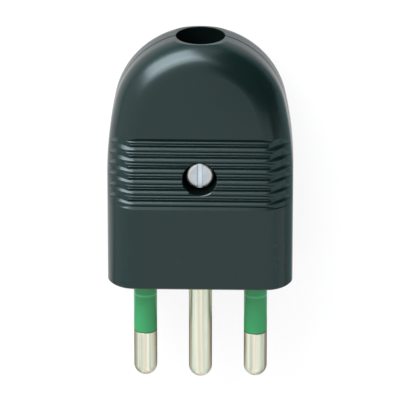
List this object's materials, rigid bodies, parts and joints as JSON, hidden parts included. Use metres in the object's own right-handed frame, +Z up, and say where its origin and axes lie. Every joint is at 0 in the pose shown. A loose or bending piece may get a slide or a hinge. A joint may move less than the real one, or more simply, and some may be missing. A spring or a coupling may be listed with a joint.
{
  "type": "three-pin plug",
  "caption": "Domed moulded mains plug with pins in a row, grip grooves, a sunk cover screw, insulating sleeves on the outer pins and a round cord entry.",
  "frame": {"origin": "on the rear face, halfway along the plug between the pin tips and the top of the dome", "axes": "+X across the row of pins, +Y from the pin tips to the cord entry, +Z up out of the front cover"},
  "size_m": [0.0318, 0.063, 0.014],
  "materials": {
    "body_plastic": "satin moulded charcoal",
    "green_sleeve": "smooth green",
    "plated_pin": "satin nickel plate on turned brass",
    "zinc_steel": "bright zinc plate",
    "clamp_plastic": "plain pressed fibre"
  },
  "bodies": {
    "root": {"front_cover": "body_plastic", "rear_shell": "body_plastic", "cover_screw": "zinc_steel", "cover_nut": "zinc_steel", "earth_pin": "plated_pin", "line_pin_left": "plated_pin", "line_pin_right": "plated_pin", "line_sleeve_left": "green_sleeve", "line_sleeve_right": "green_sleeve", "terminal_screw_left": "zinc_steel", "terminal_screw_right": "zinc_steel", "terminal_screw_earth": "zinc_steel", "cord_clamp": "clamp_plastic", "clamp_screw_left": "zinc_steel", "clamp_screw_right": "zinc_steel"}
  },
  "joints": []
}
